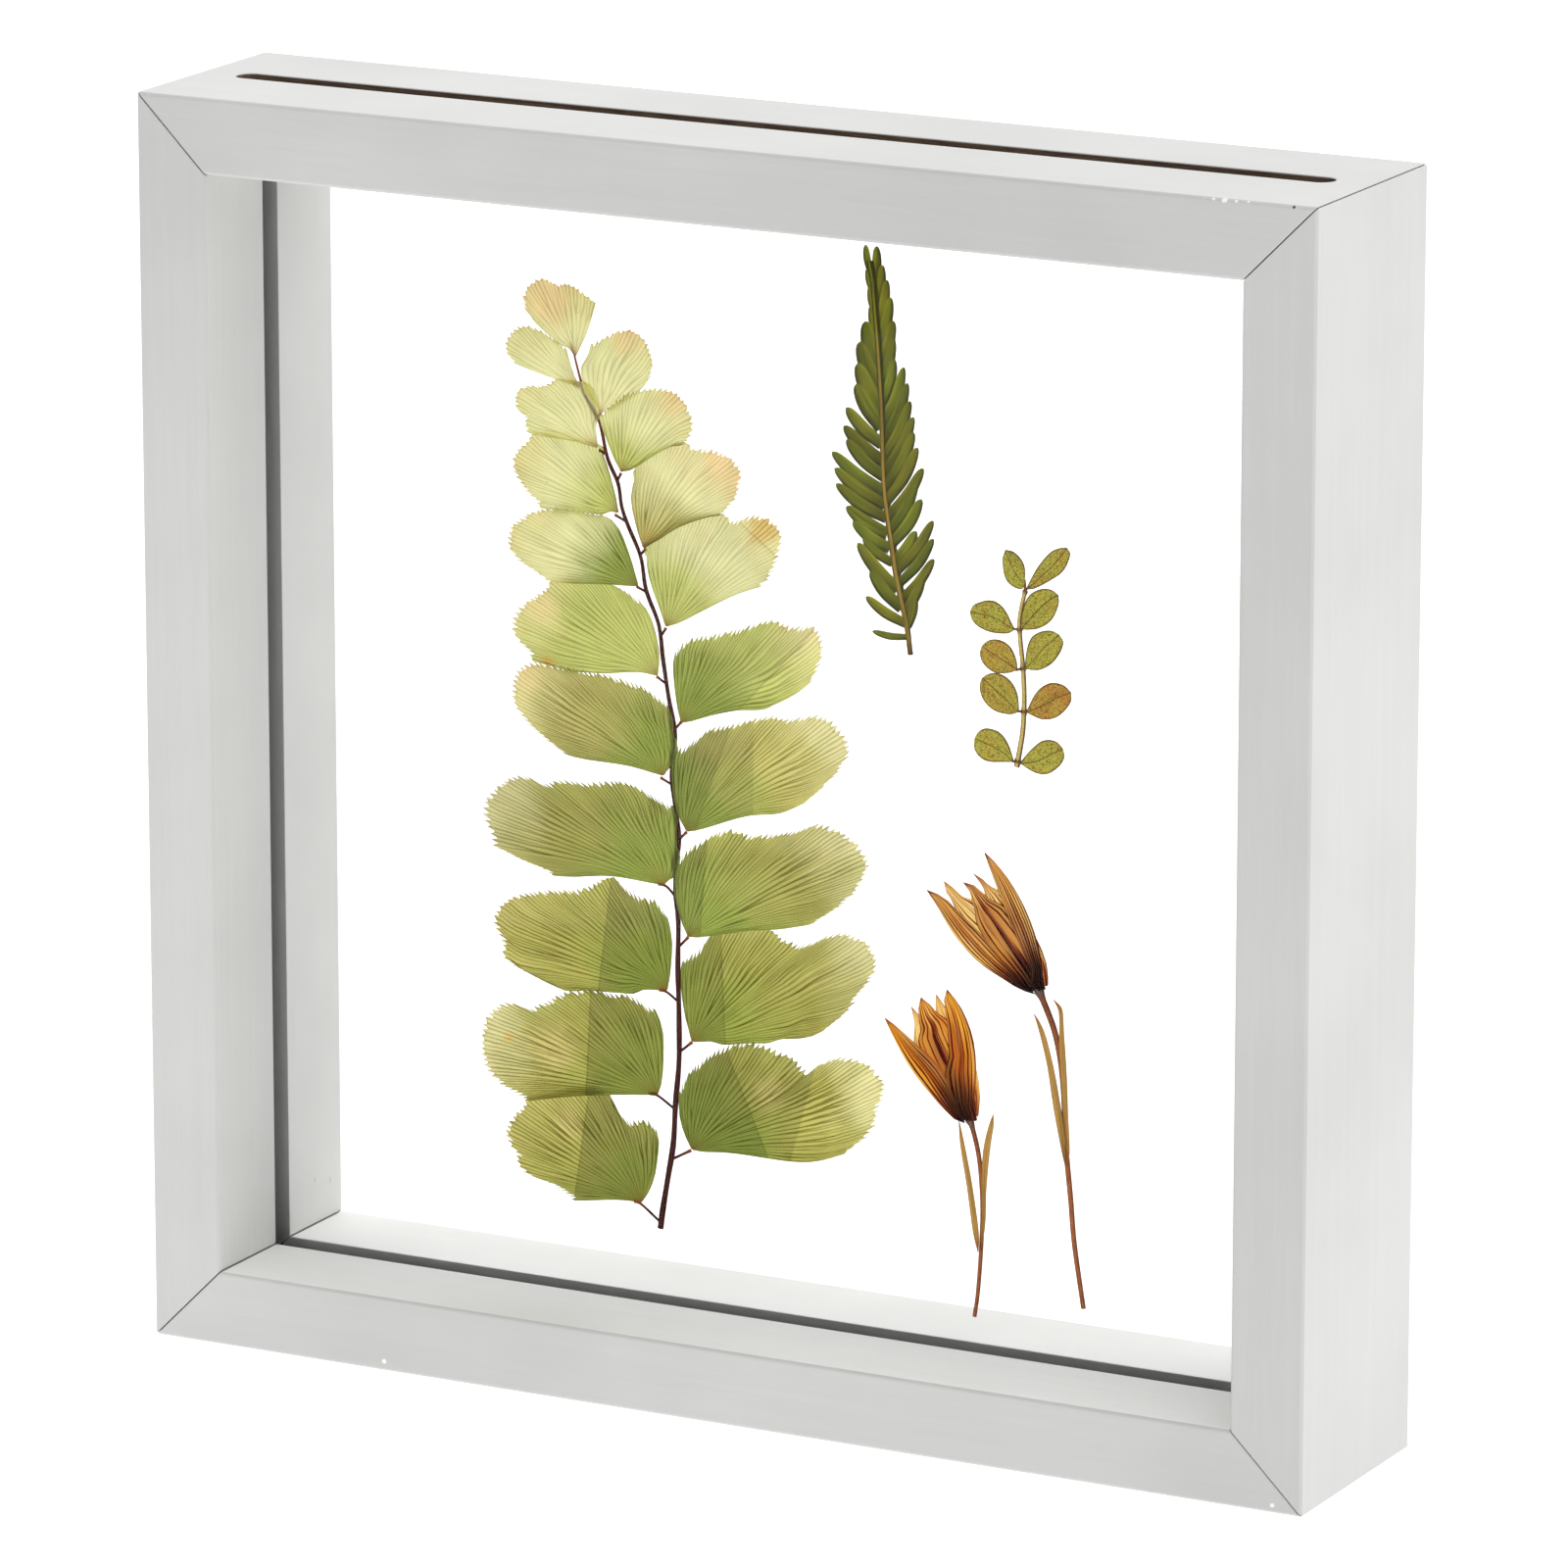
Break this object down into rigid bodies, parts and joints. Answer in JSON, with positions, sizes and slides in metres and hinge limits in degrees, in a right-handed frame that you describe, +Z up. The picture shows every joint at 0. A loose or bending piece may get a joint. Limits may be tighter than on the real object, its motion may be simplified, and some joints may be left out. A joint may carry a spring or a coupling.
{
  "type": "pressed flower frame",
  "caption": "Square deep frame with pressed fern, frond, leafy sprig and orange flowers between clear panes, stands on its edge.",
  "frame": {"origin": "middle of the underside of the frame", "axes": "+X to the right seen from the front, +Y from the front face to the back, +Z up"},
  "size_m": [0.25, 0.049, 0.25],
  "materials": {
    "painted_frame": "satin light grey paint with faint brush marks",
    "clear_pane": "clear and polished",
    "fern_leaflet": "dried leaf, green to straw",
    "fern_stalk": "dark red-brown dried stalk",
    "dark_frond": "dried leaf, dark olive",
    "sprig_leaf": "dried leaf, speckled olive",
    "sprig_stem": "dried straw-coloured stem",
    "upper_petal": "dried petal, amber with dark veins",
    "lower_petal": "dried petal, orange with dark veins",
    "flower_stem": "dried red-brown stem",
    "flower_leaf": "dried leaf, olive tan"
  },
  "bodies": {
    "root": {"back_pane": "clear_pane", "bottom_rail": "painted_frame", "dark_frond": "dark_frond", "fern_leaflet_left_1": "fern_leaflet", "fern_leaflet_left_10": "fern_leaflet", "fern_leaflet_left_2": "fern_leaflet", "fern_leaflet_left_3": "fern_leaflet", "fern_leaflet_left_4": "fern_leaflet", "fern_leaflet_left_5": "fern_leaflet", "fern_leaflet_left_6": "fern_leaflet", "fern_leaflet_left_7": "fern_leaflet", "fern_leaflet_left_8": "fern_leaflet", "fern_leaflet_left_9": "fern_leaflet", "fern_leaflet_right_1": "fern_leaflet", "fern_leaflet_right_2": "fern_leaflet", "fern_leaflet_right_3": "fern_leaflet", "fern_leaflet_right_4": "fern_leaflet", "fern_leaflet_right_5": "fern_leaflet", "fern_leaflet_right_6": "fern_leaflet", "fern_leaflet_right_7": "fern_leaflet", "fern_leaflet_right_8": "fern_leaflet", "fern_leaflet_right_9": "fern_leaflet", "fern_leaflet_tip": "fern_leaflet", "fern_stalk": "fern_stalk", "front_pane": "clear_pane", "left_rail": "painted_frame", "lower_flower_leaf_left": "flower_leaf", "lower_flower_leaf_right": "flower_leaf", "lower_flower_petal_1": "lower_petal", "lower_flower_petal_2": "lower_petal", "lower_flower_petal_3": "lower_petal", "lower_flower_petal_4": "lower_petal", "lower_flower_petal_5": "lower_petal", "lower_flower_stem": "flower_stem", "right_rail": "painted_frame", "sprig_leaf_left_1": "sprig_leaf", "sprig_leaf_left_2": "sprig_leaf", "sprig_leaf_left_3": "sprig_leaf", "sprig_leaf_left_4": "sprig_leaf", "sprig_leaf_left_5": "sprig_leaf", "sprig_leaf_right_1": "sprig_leaf", "sprig_leaf_right_2": "sprig_leaf", "sprig_leaf_right_3": "sprig_leaf", "sprig_leaf_right_4": "sprig_leaf", "sprig_leaf_right_5": "sprig_leaf", "sprig_stem": "sprig_stem", "top_rail": "painted_frame", "upper_flower_leaf_left": "flower_leaf", "upper_flower_leaf_right": "flower_leaf", "upper_flower_petal_1": "upper_petal", "upper_flower_petal_2": "upper_petal", "upper_flower_petal_3": "upper_petal", "upper_flower_petal_4": "upper_petal", "upper_flower_petal_5": "upper_petal", "upper_flower_stem": "flower_stem"}
  },
  "joints": []
}
